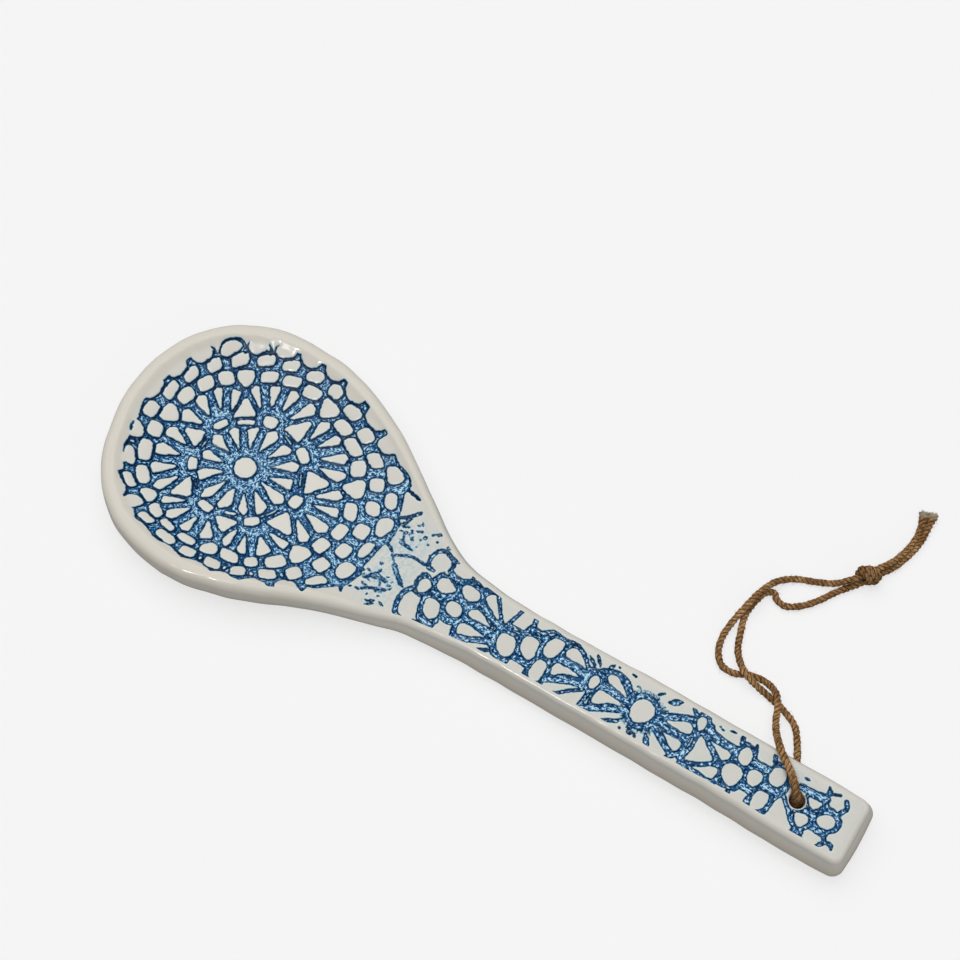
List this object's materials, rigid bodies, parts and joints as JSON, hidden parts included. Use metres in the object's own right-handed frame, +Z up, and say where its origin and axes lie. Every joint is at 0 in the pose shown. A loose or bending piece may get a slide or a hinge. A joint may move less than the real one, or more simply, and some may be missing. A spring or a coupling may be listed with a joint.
{
  "type": "ceramic spoon",
  "caption": "Hand-cut ceramic spoon with a shallow round bowl, a flat slab handle, a lace imprint in blue glaze and a knotted jute loop through the handle's hole.",
  "frame": {"origin": "on the flat underside, below the middle of the bowl", "axes": "+X from the bowl's middle along the handle to its end, +Y across the handle to the side that the loop hangs out of, +Z up out of the bowl"},
  "size_m": [0.2505, 0.1395, 0.0147],
  "materials": {
    "glazed_stoneware": "glossy off-white glaze with blue pigment in the pressed lace lines",
    "jute_twine": "matt, hairy, twisted natural fibre"
  },
  "bodies": {
    "spoon": {"spoon_body": "glazed_stoneware"},
    "hanging_loop": {"twine_upper_strand": "jute_twine", "twine_lower_strand": "jute_twine", "twine_knot": "jute_twine", "twine_outer_tail": "jute_twine", "twine_inner_tail": "jute_twine"}
  },
  "joints": [
    {"name": "loop_swing", "type": "hinge", "parent": "spoon", "child": "hanging_loop", "pos_m": [0.1896, 0, 0.0075], "axis": [0, 0, -1], "range_deg": [0, 85]}
  ]
}
